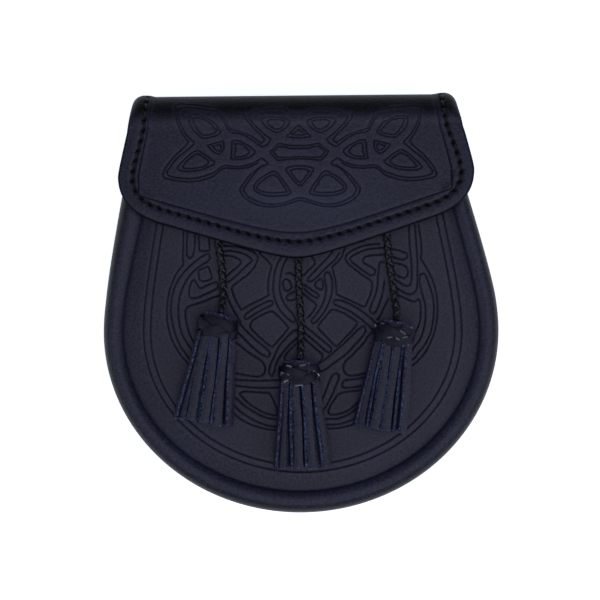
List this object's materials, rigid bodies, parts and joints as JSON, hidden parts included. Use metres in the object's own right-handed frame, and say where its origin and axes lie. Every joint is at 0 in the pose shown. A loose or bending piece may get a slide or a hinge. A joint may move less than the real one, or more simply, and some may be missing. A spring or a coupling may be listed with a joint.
{
  "type": "sporran pouch",
  "caption": "Rounded leather sporran pouch lying on its back, with a pointed fold-over flap, pressed knotwork and leather tassels hanging on braided cords.",
  "frame": {"origin": "on the surface that the pouch lies on, under the middle of the pouch and flap", "axes": "+X across the width to the right as seen from the front, +Y towards the folded top, +Z out of the front"},
  "size_m": [0.178, 0.19, 0.0476],
  "materials": {
    "front_leather": "black grain leather, satin, with pressed lines",
    "rim_leather": "black grain leather, satin",
    "back_leather": "black grain leather, plain",
    "flap_leather": "black grain leather, satin, with pressed lines and a laced border",
    "cord_leather": "braided black leather lace",
    "ring_leather": "woven black leather lace with pale cut edges",
    "strip_leather": "cut black leather strips with blue suede edges",
    "stud_brass": "plain"
  },
  "bodies": {
    "root": {"front_panel": "front_leather", "gusset": "rim_leather", "back_panel": "back_leather", "flap": "flap_leather", "cord_left": "cord_leather", "cord_centre": "cord_leather", "cord_right": "cord_leather", "tassel_ring_left": "ring_leather", "tassel_ring_centre": "ring_leather", "tassel_ring_right": "ring_leather", "tassel_skirt_left": "strip_leather", "tassel_skirt_centre": "strip_leather", "tassel_skirt_right": "strip_leather", "belt_loop_left": "back_leather", "belt_loop_right": "back_leather", "flap_stud": "stud_brass"}
  },
  "joints": []
}
